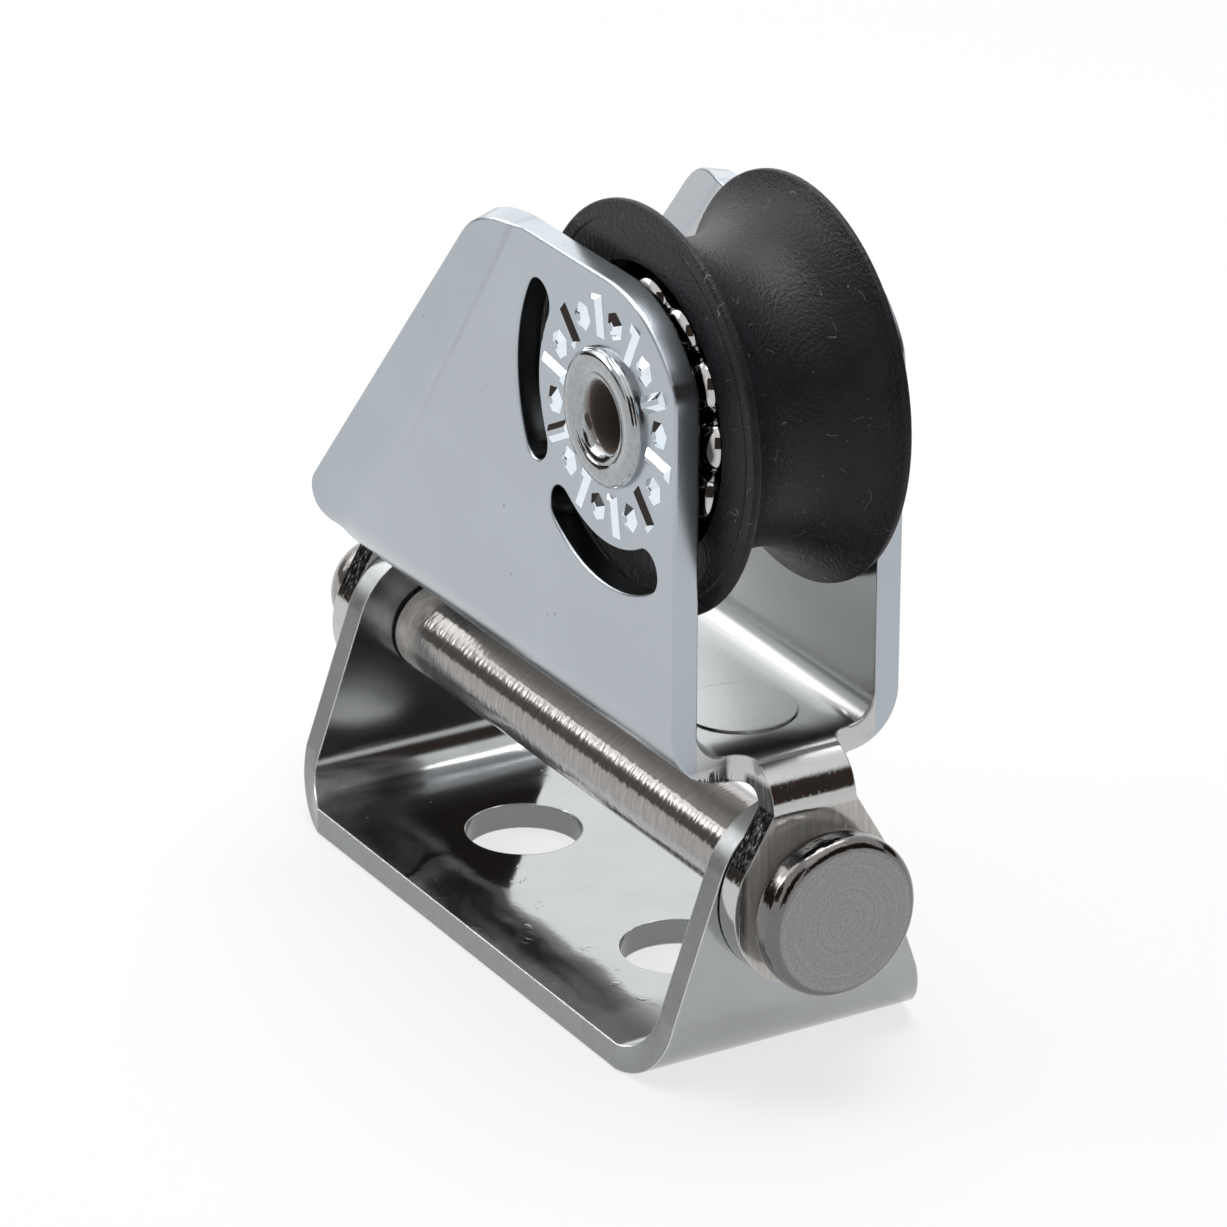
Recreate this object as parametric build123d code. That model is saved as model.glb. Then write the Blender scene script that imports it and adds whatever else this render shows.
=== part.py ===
from build123d import *
import os
from math import cos, radians, sin

# Swivel lead block: a ball-bearing sheave between two cheeks, hinged on a bolted base.
# Millimetres. X runs along the hinge pin, Y along the sheave's axle, Z up.
# The origin is the centre of the base's underside.

# Stainless sheet, the same for the base and the cheeks
sheet = 1.5
outer_edge = 0.15

# Base bracket
base_length = 40.7
base_width = 17.6
base_bend = 2.2
ear_radius = 4.95
ear_foot_width = 15.0
mount_hole = 6.6
mount_spacing = 17.0

# Hinge pin
pin_height = 10.1
pin_dia = 5.2
pin_fit = 0.05
head_dia = 9.0
head_length = 2.6
head_front_round = 0.8
head_back_round = 1.25
head_play = 0.53
tail_dia = 6.3
tail_length = 4.8
tail_round = 2.0
tail_play = 0.08

# Cheek bracket: web, two cheeks up and two lugs down
cheek_width = 13.8
cheek_bend = 1.6
web_height = 16.4
lug_play = 0.12
lug_radius = 4.85
lug_bend = 1.3
neck_width = 5.0
lug_shoulder_height = 15.4
cheek_overhang = 0.2
cheek_crown = 7.5
cheek_front_round = 3.0
tip_radius = 4.5
tip_reach = 10.65
tip_rise = 0.1
heel_radius = 2.0
heel_reach = 17.3
heel_rise = 0.15

# Rear strip of each cheek, flared outwards along a slanted bend
flare_angle = 17.0
flare_bend = 3.0
flare_top_reach = 9.4
flare_top_drop = 1.0
flare_slope = 49.8

boss_dia = 6.2
boss_reach = 14.3
boss_step = 0.1

# Slots in the cheeks, concentric with the axle
slot_radius = 8.15
slot_width = 2.3
rear_slot_from = 150.0
rear_slot_to = 207.0
lower_slot_from = 235.0
lower_slot_to = 299.0

# Sheave
axle_x = 12.2
axle_height = 35.0
sheave_dia = 21.9
sheave_width = 9.4
groove_root = 8.2
lip_width = 0.4
lip_round = 0.18
race_mouth = 7.8

# Ball bearing
ball_dia = 3.0
ball_count = 12
ball_phase = -0.4
ball_pitch_radius = 5.9
row_offset = 3.7
race_fit = 0.05
hub_radius = 5.4
hub_play = 0.2
hub_shoulder = 4.7

# Hollow axle, flared over each cheek
axle_dia = 5.2
axle_bore = 3.4
axle_fit = 0.02
flare_dia = 7.5
flare_height = 0.55
flare_round = 0.45
flare_mouth = 0.9

# Places that follow from the sizes above
half_base = base_length / 2
ear_inner = half_base - sheet
base_bend_outer = base_bend + sheet
lug_inner = half_base + lug_play
lug_outer = lug_inner + sheet
web_top = web_height + sheet
cheek_outer = cheek_width / 2
cheek_inner = cheek_outer - sheet
cheek_bend_outer = cheek_bend + sheet
cheek_front = ear_inner + cheek_overhang
far = 2 * (base_length + axle_height)
axle_centre = (axle_x, 0, axle_height)
ball_radius = ball_dia / 2
race_radius = ball_radius + race_fit
crown_height = axle_height + cheek_crown
heel_height = web_top + heel_rise + heel_radius


def bent_sheet(width, height, corner):
    """U of sheet with its floor at 0, open at the top, as wide as width outside."""
    outside = Pos(0, height / 2) * Rectangle(width, height)
    outside = fillet(outside.vertices().group_by(Axis.Y)[0], corner + sheet)
    inside = Pos(0, height / 2 + sheet) * Rectangle(width - 2 * sheet, height)
    inside = fillet(inside.vertices().group_by(Axis.Y)[0], corner)
    return outside - inside


def hull(*pieces):
    """Convex outline round the given flat pieces."""
    return make_hull(ShapeList([e for piece in pieces for e in piece.edges()]))


def turned(profile, centre):
    """Solid turned about the line through centre along Y; the profile holds (radius, y)."""
    return Pos(*centre) * revolve(profile, Axis.Y)


# Base bracket: a channel whose ears taper, through the bends, from the floor's full width
channel = Plane.XZ * bent_sheet(base_length, pin_height + ear_radius, base_bend)
base = extrude(channel, base_width / 2, both=True)
floor_half = half_base - base_bend_outer
ear_foot = Pos(0, base_bend_outer - sheet / 2) * Rectangle(ear_foot_width, sheet)
ear = hull(Pos(0, pin_height) * Circle(ear_radius), ear_foot)
ear_zone = Pos(0, base_bend_outer + far / 2) * Rectangle(far, far)
base -= extrude(Plane.YZ * (ear_zone - ear), far, both=True)
wedge = []
for turn in (0, 30, 60, 90):
    out = (sin(radians(turn)), 0, -cos(radians(turn)))
    ahead = (cos(radians(turn)), 0, sin(radians(turn)))
    edge = (base_width + (ear_foot_width - base_width) * turn / 90) / 2
    place = Plane(origin=(floor_half, 0, base_bend_outer), x_dir=out, z_dir=ahead)
    wedge.append(place * Pos(base_bend_outer, edge + sheet) * Rectangle(2 * base_bend_outer - sheet, 2 * sheet))
wedge = loft(wedge)
wedge = wedge + mirror(wedge, Plane.XZ)
base -= wedge + mirror(wedge, Plane.YZ)
for side in (-1, 1):
    base -= Pos(side * mount_spacing / 2, 0, 0) * Cylinder(mount_hole / 2, 4 * sheet)
pin_bore = Plane.YZ * Pos(0, pin_height) * Circle(pin_dia / 2 + pin_fit)
base -= extrude(pin_bore, far, both=True)

# Cheek outline seen along the axle
crown = Pos(axle_x, axle_height) * Circle(cheek_crown)
tip = Pos(axle_x - tip_reach, crown_height + tip_rise - tip_radius) * Circle(tip_radius)
heel = Pos(-heel_reach, heel_height) * Circle(heel_radius)
toe_height = heel_height - heel_radius
toe = Pos(cheek_front - sheet / 2, toe_height + sheet / 2) * Rectangle(sheet, sheet)
outline = hull(crown, tip, heel, toe)
front_limit = Pos(cheek_front - far / 2, 0) * Rectangle(far, 2 * far)
outline = outline & front_limit
corner = outline.vertices().group_by(Axis.X)[-1].sort_by(Axis.Y)[-1]
outline = fillet(corner, cheek_front_round)
web_span = cheek_front + heel_reach
web_side = Pos(cheek_front - web_span / 2, toe_height - sheet) * Rectangle(web_span, 4 * sheet)
outline = outline + web_side

# Kidney slots in both cheeks
def kidney(start, end):
    arc = CenterArc((axle_x, axle_height), slot_radius, start, end - start)
    return SlotArc(arc, slot_width)


slots = kidney(rear_slot_from, rear_slot_to) + kidney(lower_slot_from, lower_slot_to)
axle_hole = Pos(axle_x, axle_height) * Circle(axle_dia / 2 + axle_fit)
cheek_face = outline - slots - axle_hole
cheek_height = crown_height + cheek_crown - web_height
cheek_profile = Pos(0, web_height) * bent_sheet(cheek_width, cheek_height, cheek_bend)
cheeks = extrude(Plane.YZ * cheek_profile, far, both=True)
bracket = cheeks & extrude(Plane.XZ * cheek_face, far, both=True)


def sheared(body):
    """Faces that were cut through the sheet, so not its two sides or its bends."""
    faces = []
    for face in body.faces():
        if face.geom_type == GeomType.PLANE:
            across = abs(face.normal_at().Y) > 0.5
            flat = abs(face.normal_at().Z) > 0.5 and face.area > sheet * cheek_width
            if across or flat:
                continue
        elif face.geom_type == GeomType.CYLINDER and abs(face.axis_of_rotation.direction.X) > 0.5:
            continue
        faces.append(face)
    return faces


def rims(body, faces):
    """Edges that lie on just one of the faces."""
    def place(edge):
        return tuple(round(v, 3) for v in (*edge.center(), edge.length))

    marks = [place(edge) for face in faces for edge in face.edges()]
    return [edge for edge in body.edges() if marks.count(place(edge)) == 1]


bracket = fillet(rims(bracket, sheared(bracket)), outer_edge)

# The rear strips turn outwards about an axis outside each cheek, in an even bend
run = radians(flare_slope)
bend_run = radians(flare_angle) * (flare_bend + sheet / 2)
line_top = (axle_x - flare_top_reach, crown_height - flare_top_drop)
along = Vector(-cos(run), 0, -sin(run))
away = Vector(-sin(run), 0, cos(run))


def beyond_line(start, shift):
    """The part of the bracket beyond the bend line moved by shift, and its face on that line."""
    place = start + away * shift
    keep = Plane(origin=place, x_dir=along, z_dir=away) * Box(
        2 * far, cheek_inner, far, align=(Align.CENTER, Align.CENTER, Align.MIN)
    )
    piece = bracket & keep
    faces = [f for f in piece.faces() if abs((f.center() - place).dot(away)) < outer_edge / 10]
    return piece, max(faces, key=lambda face: face.area)


for side in (-1, 1):
    start = Vector(line_top[0], side * cheek_outer, line_top[1])
    hinge = Axis(start + Vector(0, side * flare_bend, 0), along * side)
    seams = []
    for part in (0, 0.5, 1):
        strip, seam = beyond_line(start, part * bend_run)
        seams.append((Pos(*(away * (-part * bend_run))) * seam).rotate(hinge, part * flare_angle))
    cut_off, seam = beyond_line(start, 0)
    bracket = bracket - cut_off
    bend = loft(seams)
    strip = (Pos(*(away * -bend_run)) * strip).rotate(hinge, flare_angle)
    bracket = bracket + bend + strip

# Lugs: an upturned U over the ears, cut to the neck and the round end
lug_drop = web_top - pin_height + lug_radius
lug_profile = Pos(0, web_top) * Rot(0, 0, 180) * bent_sheet(2 * lug_outer, lug_drop, lug_bend)
lugs = extrude(Plane.XZ * lug_profile, lug_radius, both=True)
neck_flat = cheek_inner - cheek_bend
neck_plan = Rectangle(4 * lug_outer, neck_width)
neck_plan = neck_plan + Pos((cheek_front - heel_reach) / 2, 0) * Rectangle(web_span, 2 * neck_flat)
corners = [v for v in neck_plan.vertices() if abs(abs(v.Y) - neck_width / 2) < outer_edge and abs(v.X) < lug_inner]
neck_plan = fillet(corners, neck_flat - neck_width / 2 - outer_edge)
neck = Pos(0, 0, lug_shoulder_height) * extrude(neck_plan, far)
lug_end = hull(
    Pos(0, pin_height) * Circle(lug_radius),
    Pos(0, lug_shoulder_height) * Rectangle(neck_width, sheet / 10, align=(Align.CENTER, Align.MAX)),
)
lugs = lugs & (neck + extrude(Plane.YZ * lug_end, far, both=True))
bracket += lugs
bracket -= extrude(pin_bore, far, both=True)
boss = Pos(boss_reach, 0, web_height + boss_step) * Cylinder(
    boss_dia / 2, sheet, align=(Align.CENTER, Align.CENTER, Align.MIN)
)
boss_seat = Pos(boss_reach, 0, web_height) * Cylinder(
    boss_dia / 2, boss_step, align=(Align.CENTER, Align.CENTER, Align.MIN)
)
bracket = bracket - boss_seat + boss

# Hinge pin: disc head in front, shaft, upset tail behind
head_back = lug_outer + head_play
head_face = head_back + head_length
tail_start = lug_outer + tail_play
tail_end = tail_start + tail_length
head = Pos(head_back + head_length / 2, head_dia / 4) * Rectangle(head_length, head_dia / 2)
shaft = Pos((head_face - tail_end) / 2, pin_dia / 4) * Rectangle(head_face + tail_end, pin_dia / 2)
tail = Pos(-tail_start - tail_length / 2, tail_dia / 4) * Rectangle(tail_length, tail_dia / 2)
head_rim = head.vertices().group_by(Axis.Y)[-1].sort_by(Axis.X)
head = fillet(head_rim[-1], head_front_round)
head_rim = head.vertices().group_by(Axis.Y)[-1].sort_by(Axis.X)
head = fillet(head_rim[0], head_back_round)
tail_rim = tail.vertices().group_by(Axis.Y)[-1].sort_by(Axis.X)
tail = fillet(tail_rim[0], tail_round)
pin_profile = head + (shaft & (Rectangle(2 * head_back, pin_dia) + Pos(-tail_start, 0) * Rectangle(
    tail_length, pin_dia))) + tail
hinge_pin = Pos(0, 0, pin_height) * revolve(pin_profile, Axis.X)

# Sheave: rope groove, rounded lips and a race pocket for each row of balls
half_sheave = sheave_width / 2
rim = sheave_dia / 2
bore = hub_radius + hub_play
blank = Pos((bore + rim) / 2, 0) * Rectangle(rim - bore, sheave_width)
groove_depth = rim - groove_root
groove_half = half_sheave - lip_width
groove_radius = (groove_depth**2 + groove_half**2) / (2 * groove_depth)
groove = Pos(groove_root + groove_radius, 0) * Circle(groove_radius)
section = blank - groove
rows = Sketch()
for side in (-1, 1):
    ball_path = Pos(ball_pitch_radius, side * row_offset) * Circle(race_radius)
    mouth_depth = half_sheave - row_offset
    mouth = Pos(race_mouth / 2, side * (row_offset + mouth_depth / 2)) * Rectangle(race_mouth, mouth_depth)
    section = section - ball_path - mouth
    rows = rows + ball_path
lips = section.vertices().group_by(Axis.X)[-1]
section = fillet(lips, lip_round)
sheave = turned(section, axle_centre)

# Inner race on the axle
hub_bore = axle_dia / 2 + axle_fit
hub_section = Pos((hub_bore + hub_radius) / 2, 0) * Rectangle(hub_radius - hub_bore, 2 * cheek_inner)
open_depth = cheek_inner - row_offset
for side in (-1, 1):
    hub_section = hub_section - Pos((hub_shoulder + hub_radius) / 2, side * (row_offset + open_depth / 2)) * Rectangle(
        hub_radius - hub_shoulder, open_depth
    )
hub = turned(hub_section - rows, axle_centre)

# Hollow axle: tube, and a flared ring over each cheek
flare_top = cheek_outer + flare_height
tube = Pos((axle_bore + axle_dia) / 4, 0) * Rectangle((axle_dia - axle_bore) / 2, 2 * flare_top)
axle_section = tube
for side in (-1, 1):
    ring = Pos((axle_bore + flare_dia) / 4, side * (cheek_outer + flare_height / 2)) * Rectangle(
        (flare_dia - axle_bore) / 2, flare_height
    )
    axle_section = axle_section + ring
ends = axle_section.vertices().group_by(Axis.X)[-1]
outer_ends = [v for v in ends if abs(v.Y) > cheek_outer + flare_height / 2]
axle_section = fillet(outer_ends, flare_round)
mouths = axle_section.vertices().group_by(Axis.X)[0]
axle_section = fillet(mouths, flare_mouth)
axle_tube = turned(axle_section, axle_centre)

# Balls: two full rows
pieces = {
    "base_bracket": base,
    "cheek_bracket": bracket,
    "hinge_pin": hinge_pin,
    "axle_tube": axle_tube,
    "hub_race": hub,
    "sheave": sheave,
}
for row, side in (("near", -1), ("far", 1)):
    for n in range(ball_count):
        angle = radians(360 * n / ball_count + ball_phase)
        x = axle_x + ball_pitch_radius * cos(angle)
        z = axle_height + ball_pitch_radius * sin(angle)
        pieces[f"ball_{row}_{n + 1:02d}"] = Pos(x, side * row_offset, z) * Sphere(ball_radius)

os.makedirs("parts", exist_ok=True)
for name, piece in pieces.items():
    export_step(piece, f"parts/{name}.step")
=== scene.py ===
import bmesh
import bpy
from math import cos, pi, radians, sin
from mathutils import Matrix, Vector


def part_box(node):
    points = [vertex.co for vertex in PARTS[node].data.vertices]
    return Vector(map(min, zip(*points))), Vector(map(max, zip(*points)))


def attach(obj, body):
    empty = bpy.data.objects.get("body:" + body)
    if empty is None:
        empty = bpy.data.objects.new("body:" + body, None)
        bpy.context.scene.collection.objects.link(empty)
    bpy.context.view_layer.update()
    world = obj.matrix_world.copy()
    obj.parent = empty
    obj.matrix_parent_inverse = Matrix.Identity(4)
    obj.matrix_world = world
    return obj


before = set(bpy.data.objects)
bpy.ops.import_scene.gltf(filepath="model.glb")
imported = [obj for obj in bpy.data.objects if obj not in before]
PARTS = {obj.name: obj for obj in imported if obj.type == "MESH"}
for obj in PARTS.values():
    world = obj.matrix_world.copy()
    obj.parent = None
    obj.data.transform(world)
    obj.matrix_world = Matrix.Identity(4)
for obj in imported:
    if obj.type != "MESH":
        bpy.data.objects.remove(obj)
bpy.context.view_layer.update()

bl_info = {
    "name": "Swivel Lead Block",
    "version": (1, 0, 0),
    "blender": (4, 5, 0),
    "location": "View3D > Sidebar > Lead Block",
    "description": "Metal and acetal finishes, a pressed ring of marks and a studio for a hinged lead block",
    "category": "Object",
}

MM = 0.001
X, Y, Z = 0, 1, 2

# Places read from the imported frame, in metres
AXLE_LOW, AXLE_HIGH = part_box("axle_tube")
AXLE_X = (AXLE_LOW[X] + AXLE_HIGH[X]) / 2
AXLE_Z = (AXLE_LOW[Z] + AXLE_HIGH[Z]) / 2
PIN_LOW, PIN_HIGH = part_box("hinge_pin")
PIN_Z = (PIN_LOW[Z] + PIN_HIGH[Z]) / 2
BALL_ROW_Y = sum(corner[Y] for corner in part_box("ball_far_01")) / 2

# Measures that the frame doesn't hold, and the places that follow from them
SHEET = 1.5 * MM
HEAD_LENGTH = 2.6 * MM
HOLE_X = 8.5 * MM
WEB_TOP = 17.9 * MM
HEAD_BACK = PIN_HIGH[X] - HEAD_LENGTH
EAR_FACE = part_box("base_bracket")[0][X] + SHEET
CHEEK_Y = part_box("hub_race")[1][Y] + SHEET
EDGE_ROUND = 0.13 * MM

# Where the finish changes on the cheek bracket: the start of the change, then where it is full
INNER_FACE = (CHEEK_Y - 0.96 * SHEET, CHEEK_Y - 0.99 * SHEET)
BEND_SHADE_HEIGHT = (25 * MM, 34 * MM)
WEB_UNDER = (16.9 * MM, 16.5 * MM)
WEB_LENGTH = (19.2 * MM, 18.6 * MM)
LUG_ENDS = (17.4 * MM, 18.2 * MM)
LUG_TOP = (17.4 * MM, 16.6 * MM)
LUG_FACE_TOP = (15.25 * MM, 15.1 * MM)
LUG_FACE_SIDE = (4.3 * MM, 4.0 * MM)
TORN_TOP = (17.0 * MM, 16.6 * MM)
TORN_FOOT = (12.1 * MM, 12.5 * MM)
NECK_SIDE = (4.4 * MM, 4.7 * MM)
NECK_TOP = (17.3 * MM, 16.9 * MM)
NECK_FOOT = (14.6 * MM, 15.2 * MM)
SLOT_REACH = (9.7 * MM, 9.6 * MM)

# The bend line of the rear strips, along which shade is painted: a point on it and its slope
BEND_LINE_X = 2.0 * MM
BEND_LINE_Z = 41.6 * MM
BEND_LINE_RISE = 0.814
BEND_LINE_RUN = 0.581

# The slots end in front of and above the axle, and the web falls off past this distance
SLOT_FRONT = AXLE_X + 4.6 * MM
SLOT_TOP = AXLE_Z + 5.6 * MM
WEB_FALL_START = 16.6 * MM

# The same on the base, the pin, the axle, the sheave and the balls
HOLE_WALL = (3.42 * MM, 3.36 * MM)
HANDLED_ENDS = (12.4 * MM, 13.8 * MM)
SCUFF_HEIGHT = (4 * MM, 1.6 * MM)
HEAD_START = (HEAD_BACK - 0.1 * MM, HEAD_BACK)
HEAD_BACK_FACE = (HEAD_BACK + 0.4 * MM, HEAD_BACK + 0.2 * MM)
PAINTED_LIGHT_END = (EAR_FACE + 2.9 * MM, EAR_FACE + 1.5 * MM)
PAINTED_LIGHT_STOP = (EAR_FACE - 1 * MM, EAR_FACE)
GAP_SHADOW_RING = (EAR_FACE + 0.3 * MM, EAR_FACE + 0.22 * MM)
AXLE_BORE = (1.95 * MM, 1.75 * MM)
CROWN_REACH = 3.05 * MM
CROWN_HALF = 0.62 * MM
RIM_STEP = (10.02 * MM, 10.16 * MM)
PAINTED_SHADE_SIDE = (BALL_ROW_Y + 0.92 * MM, BALL_ROW_Y + 1.08 * MM)

# Colours of worn and dirty places, and of painted light, shade, highlights and reflections
INNER_SHEET_PAINTED_LIGHT = (0.49, 0.497, 0.50)
LUG_SHEET = (0.50, 0.50, 0.495)
UNDER_SHEET_PAINTED_LIGHT = (0.80, 0.79, 0.77)
LUG_REFLECTION_DARK = (0.46, 0.44, 0.42)
LUG_REFLECTION_LIGHT = (0.62, 0.60, 0.575)
LUG_EDGE_HIGHLIGHT = (0.85, 0.86, 0.87)
BASE_EDGE_HIGHLIGHT = (0.95, 0.955, 0.96)
PAINTED_LIGHT_LOW = (0.50, 0.47, 0.44)
PAINTED_LIGHT_HIGH = (0.66, 0.63, 0.60)
GAP_SHADOW = (0.01, 0.009, 0.008)
HEAD_DARK = (0.205, 0.202, 0.20)
HEAD_LIGHT = (0.325, 0.322, 0.318)
BORE_FILM = (0.16, 0.13, 0.115)
COARSE_DUST = (0.30, 0.30, 0.31)
FINE_DUST = (0.36, 0.36, 0.37)
LINT = (0.34, 0.33, 0.35)

# Lamps: name, place, point they look at, width, height, and the setting that holds their power
LAMPS = (
    ("overhead_lamp", (-0.05, 0.05, 0.45), (0, 0, 0.02), 0.30, 0.30, "key_power"),
    ("side_lamp", (-0.30, -0.32, 0.26), (0, 0, 0.02), 0.22, 0.16, "side_power"),
)

# Reflection cards: name, azimuth, elevation, distance, width, height, colour, strength
WHITE = (1.0, 1.0, 1.0)
BROWN = (0.046, 0.035, 0.029)
CARDS = (
    ("flag_right", 120, 25, 0.5, 0.70, 0.34, BROWN, 1.0),
    ("flag_left", -55, 8, 0.6, 0.70, 0.20, BROWN, 1.0),
    ("flag_back", -175, 10, 0.6, 0.45, 0.18, BROWN, 1.0),
    ("flag_front", 55, 25, 0.6, 0.32, 0.48, BROWN, 1.0),
    ("flag_side", -8, 25, 0.55, 0.32, 0.17, BROWN, 1.0),
    ("softbox_back", -122, 36, 0.5, 0.42, 0.56, WHITE, 1.55),
    ("softbox_left", -60, 42, 0.5, 0.40, 0.30, WHITE, 2.7),
    ("softbox_top", 100, 66, 0.45, 0.36, 0.26, WHITE, 1.45),
)
FLOOR_DROP = 0.1 * MM
FLOOR_GLOW = 0.72


# Node helpers

def join(tree, value, socket):
    """Links a socket to a shader input, or sets a plain value on it."""
    if isinstance(value, bpy.types.NodeSocket):
        tree.links.new(value, socket)
    else:
        socket.default_value = value


def add_node(tree, kind, inputs=None, **settings):
    """Adds a shader node; inputs holds values or sockets by name or by number."""
    made = tree.nodes.new(kind)
    for name, value in settings.items():
        setattr(made, name, value)
    for name, value in (inputs or {}).items():
        join(tree, value, made.inputs[name])
    return made


def calc(tree, operation, *values, clamp=False):
    """Math node with the given values or sockets; returns its output."""
    made = add_node(
        tree, "ShaderNodeMath", dict(enumerate(values)), operation=operation, use_clamp=clamp)
    return made.outputs[0]


def product(tree, first, *others):
    """Multiplies masks and values, one after the other."""
    for other in others:
        first = calc(tree, "MULTIPLY", first, other)
    return first


def inverse(tree, mask):
    """1 where the mask is 0, and 0 where it is 1."""
    return calc(tree, "SUBTRACT", 1.0, mask)


def ramp(tree, value, low, high):
    """0 below low, 1 above high, straight between them; the other way round where low is above high."""
    made = add_node(
        tree, "ShaderNodeMapRange", {"Value": value, "From Min": low, "From Max": high}, clamp=True)
    return made.outputs["Result"]


def spread(tree, value, low, high):
    """Maps 0 to 1 onto low to high."""
    made = add_node(
        tree, "ShaderNodeMapRange", {"Value": value, "To Min": low, "To Max": high}, clamp=True)
    return made.outputs["Result"]


def blend(tree, factor, first, second):
    """Mixes two colours."""
    made = add_node(
        tree, "ShaderNodeMix", {0: factor, 6: first, 7: second}, data_type="RGBA", clamp_factor=True)
    return made.outputs[2]


def between(tree, factor, first, second):
    """Mixes two numbers."""
    made = add_node(tree, "ShaderNodeMix", {0: factor, 2: first, 3: second}, data_type="FLOAT")
    return made.outputs[0]


def grain(tree, scale, detail=2.0, stretch=(1, 1, 1), centre=(0, 0, 0)):
    """Noise on object coordinates; scale is in cells per metre."""
    where = add_node(tree, "ShaderNodeTexCoord").outputs["Object"]
    placed = add_node(
        tree, "ShaderNodeMapping", {"Vector": where, "Location": centre, "Scale": stretch})
    noise = add_node(
        tree, "ShaderNodeTexNoise", {"Vector": placed.outputs[0], "Scale": scale, "Detail": detail})
    return noise.outputs["Fac"]


def lathe_rings(tree, radius, scale, detail):
    """Noise that changes only with the distance from an axis, as marks of turning do."""
    place = add_node(tree, "ShaderNodeCombineXYZ", {X: radius, Y: 0.0, Z: 0.0}).outputs[0]
    noise = add_node(tree, "ShaderNodeTexNoise", {"Vector": place, "Scale": scale, "Detail": detail})
    return noise.outputs["Fac"]


def specks(tree, scale, share, size):
    """1 on small scattered spots, 0 elsewhere.

    share is the part of the cells that hold a spot, and size is a spot's part of its cell.
    """
    where = add_node(tree, "ShaderNodeTexCoord").outputs["Object"]
    cells = add_node(tree, "ShaderNodeTexVoronoi", {"Vector": where, "Scale": scale})
    pick = add_node(tree, "ShaderNodeSeparateColor", {"Color": cells.outputs["Color"]}).outputs[0]
    chosen = calc(tree, "LESS_THAN", pick, share)
    near = calc(tree, "LESS_THAN", cells.outputs["Distance"], size)
    return product(tree, chosen, near)


def place_axes(tree):
    """The object's own x, y and z as three sockets."""
    where = add_node(tree, "ShaderNodeTexCoord").outputs["Object"]
    return add_node(tree, "ShaderNodeSeparateXYZ", {"Vector": where}).outputs


def facing(tree, axis, low, high):
    """Mask of how squarely the surface faces along one of the object's own axes, either way."""
    normal = add_node(tree, "ShaderNodeTexCoord").outputs["Normal"]
    parts = add_node(tree, "ShaderNodeSeparateXYZ", {"Vector": normal}).outputs
    return ramp(tree, calc(tree, "ABSOLUTE", parts[axis]), low, high)


def reach_from(tree, first, second):
    """Length of the diagonal of two distances."""
    squares = calc(tree, "ADD", product(tree, first, first), product(tree, second, second))
    return calc(tree, "SQRT", squares)


def reach_from_pin(tree, parts):
    """Distance from the pin's axis."""
    return reach_from(tree, parts[Y], calc(tree, "SUBTRACT", parts[Z], PIN_Z))


def reach_from_axle(tree, parts):
    """Distance from the axle's axis."""
    along = calc(tree, "SUBTRACT", parts[X], AXLE_X)
    return reach_from(tree, along, calc(tree, "SUBTRACT", parts[Z], AXLE_Z))


def bump(tree, height, depth, after=None):
    """Bump of the given depth in metres, on top of an earlier one."""
    inputs = {"Height": height, "Distance": depth, "Strength": 1.0}
    if after is not None:
        inputs["Normal"] = after
    return add_node(tree, "ShaderNodeBump", inputs).outputs["Normal"]


def rounded(tree):
    """Normal that takes the sharpness off edges, as on tumbled sheet."""
    return add_node(tree, "ShaderNodeBevel", {"Radius": EDGE_ROUND}, samples=4).outputs["Normal"]


def painted_edge_line(tree, soft, start, full):
    """1 along sharp outer edges, where painted shade and painted highlight lines go; full sets how narrow it
    is.
    """
    flat = add_node(tree, "ShaderNodeNewGeometry").outputs["Normal"]
    same = add_node(tree, "ShaderNodeVectorMath", {0: soft, 1: flat}, operation="DOT_PRODUCT")
    return ramp(tree, same.outputs["Value"], start, full)


def new_finish(name, metallic=1.0, ior=1.5):
    """Material with one Principled shader; returns the material, its tree and the shader."""
    material = bpy.data.materials.new(name)
    material.use_nodes = True
    tree = material.node_tree
    shader = tree.nodes["Principled BSDF"]
    shader.inputs["Metallic"].default_value = metallic
    shader.inputs["IOR"].default_value = ior
    return material, tree, shader


def wire(tree, shader, colour, roughness, normal, metallic=None):
    """Joins what was made to the shader; metallic is given only where it varies."""
    join(tree, colour, shader.inputs["Base Color"])
    join(tree, roughness, shader.inputs["Roughness"])
    join(tree, normal, shader.inputs["Normal"])
    if metallic is not None:
        join(tree, metallic, shader.inputs["Metallic"])


def dress(material, *names):
    """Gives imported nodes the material; their meshes stay as they are."""
    for name in names:
        slots = PARTS[name].data.materials
        slots.clear()
        slots.append(material)


def shade(colour, factor=1.0):
    """The colour made darker or lighter, as a socket value."""
    return (colour[0] * factor, colour[1] * factor, colour[2] * factor, 1.0)


# Masks on the cheek bracket

def bend_line_shade(tree, parts, cloud):
    """Painted shade in a faint line across each cheek, along the bend of its rear strip."""
    across = product(tree, calc(tree, "SUBTRACT", parts[X], BEND_LINE_X), BEND_LINE_RISE)
    up = product(tree, calc(tree, "SUBTRACT", parts[Z], BEND_LINE_Z), BEND_LINE_RUN)
    off_line = calc(tree, "ABSOLUTE", calc(tree, "SUBTRACT", across, up))
    line = product(tree, ramp(tree, off_line, 0.3 * MM, 0.05 * MM), ramp(tree, cloud, 0.3, 0.55))
    return product(tree, line, ramp(tree, parts[Z], *BEND_SHADE_HEIGHT))


def web_underside(tree, parts, along):
    """The rough underside of the web, between the lugs, which is painted much lighter as painted light."""
    middle = product(tree, ramp(tree, parts[Z], *WEB_UNDER), ramp(tree, along, *WEB_LENGTH))
    return product(tree, middle, facing(tree, Z, 0.8, 0.9))


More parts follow.
